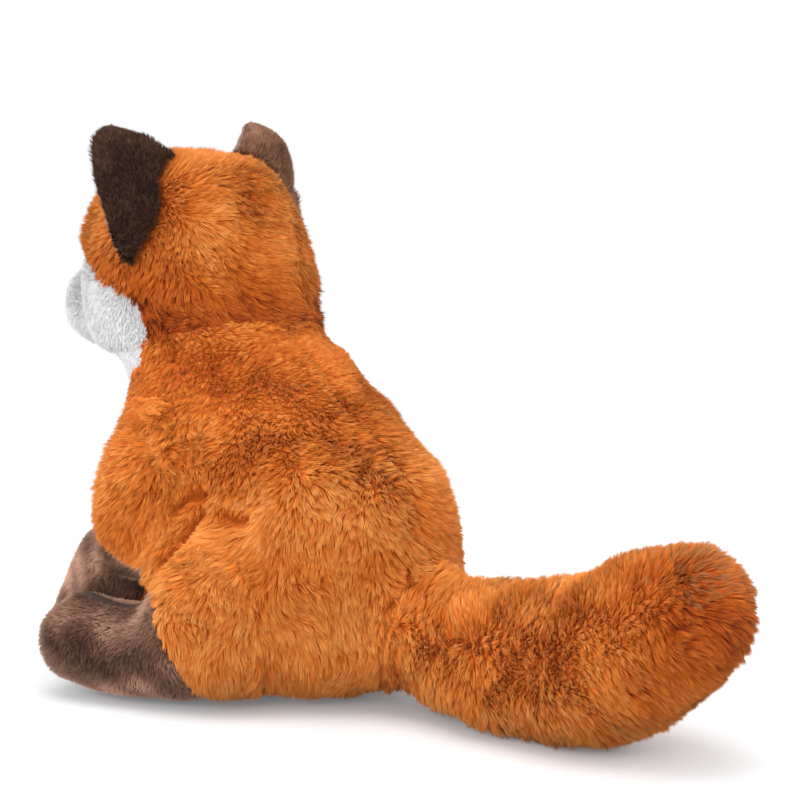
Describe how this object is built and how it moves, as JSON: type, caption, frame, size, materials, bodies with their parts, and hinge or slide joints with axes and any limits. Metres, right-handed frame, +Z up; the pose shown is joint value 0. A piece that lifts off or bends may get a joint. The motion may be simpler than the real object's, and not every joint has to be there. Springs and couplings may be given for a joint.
{
  "type": "plush fox",
  "caption": "Stuffed toy fox that sits upright, with a turning head, bending ears, swinging arms, lifting legs and a long swinging tail.",
  "frame": {"origin": "on the surface the fox sits on, under the middle of its whole length and width", "axes": "+Z up, +Y from the fox's face to its tail, +X to the fox's left"},
  "size_m": [0.1814, 0.3438, 0.2281],
  "materials": {
    "orange_fur": "long orange pile, brushed downwards",
    "brown_fur": "short dense brown pile",
    "ear_lining": "short dense pile, a lighter brown",
    "white_fur": "soft white pile",
    "fibre": "loose white polyester fibre",
    "pouch": "plain woven pouch of plastic pellets",
    "black_plastic": "polished black",
    "clear_plastic": "plain moulded"
  },
  "bodies": {
    "torso": {"torso_cover": "orange_fur", "chest_bib": "white_fur", "torso_filling": "fibre", "bean_bag": "pouch"},
    "head": {"head_cover": "orange_fur", "face_cover": "white_fur", "head_filling": "fibre", "muzzle_cover": "white_fur", "muzzle_filling": "fibre", "left_eye": "black_plastic", "right_eye": "black_plastic", "left_eye_washer": "clear_plastic", "right_eye_washer": "clear_plastic", "nose": "black_plastic", "nose_washer": "clear_plastic"},
    "left_ear": {"left_ear_back": "brown_fur", "left_ear_front": "ear_lining"},
    "right_ear": {"right_ear_back": "brown_fur", "right_ear_front": "ear_lining"},
    "left_arm": {"left_arm_cover": "orange_fur", "left_paw_cover": "brown_fur", "left_arm_filling": "fibre"},
    "right_arm": {"right_arm_cover": "orange_fur", "right_paw_cover": "brown_fur", "right_arm_filling": "fibre"},
    "left_leg": {"left_thigh_cover": "orange_fur", "left_foot_cover": "brown_fur", "left_leg_filling": "fibre"},
    "right_leg": {"right_thigh_cover": "orange_fur", "right_foot_cover": "brown_fur", "right_leg_filling": "fibre"},
    "tail": {"tail_cover": "orange_fur", "tail_filling": "fibre"}
  },
  "joints": [
    {"name": "head_turn", "type": "hinge", "parent": "torso", "child": "head", "pos_m": [0, -0.08344, 0.133], "axis": [0, 0, 1], "range_deg": [-30, 30], "stiffness_Nm_per_rad": 0.12},
    {"name": "left_ear_bend", "type": "hinge", "parent": "head", "child": "left_ear", "pos_m": [0.038, -0.08844, 0.187], "axis": [0.7038, 0.086, -0.7051], "range_deg": [-12, 12], "stiffness_Nm_per_rad": 0.03},
    {"name": "right_ear_bend", "type": "hinge", "parent": "head", "child": "right_ear", "pos_m": [-0.038, -0.08844, 0.187], "axis": [0.7038, -0.086, 0.7051], "range_deg": [-12, 12], "stiffness_Nm_per_rad": 0.03},
    {"name": "left_arm_swing", "type": "hinge", "parent": "torso", "child": "left_arm", "pos_m": [0.04, -0.07344, 0.11], "axis": [1, 0, 0], "range_deg": [-30, 0], "stiffness_Nm_per_rad": 0.08},
    {"name": "right_arm_swing", "type": "hinge", "parent": "torso", "child": "right_arm", "pos_m": [-0.04, -0.07344, 0.11], "axis": [1, 0, 0], "range_deg": [-30, 0], "stiffness_Nm_per_rad": 0.08},
    {"name": "left_leg_lift", "type": "hinge", "parent": "torso", "child": "left_leg", "pos_m": [0.05, -0.03544, 0.033], "axis": [1, 0, 0], "range_deg": [-15, 0], "stiffness_Nm_per_rad": 0.25},
    {"name": "right_leg_lift", "type": "hinge", "parent": "torso", "child": "right_leg", "pos_m": [-0.05, -0.03544, 0.033], "axis": [1, 0, 0], "range_deg": [-15, 0], "stiffness_Nm_per_rad": 0.25},
    {"name": "tail_swing", "type": "hinge", "parent": "torso", "child": "tail", "pos_m": [0, 0.04256, 0.027], "axis": [0, 0, 1], "range_deg": [-25, 25], "stiffness_Nm_per_rad": 0.15}
  ]
}
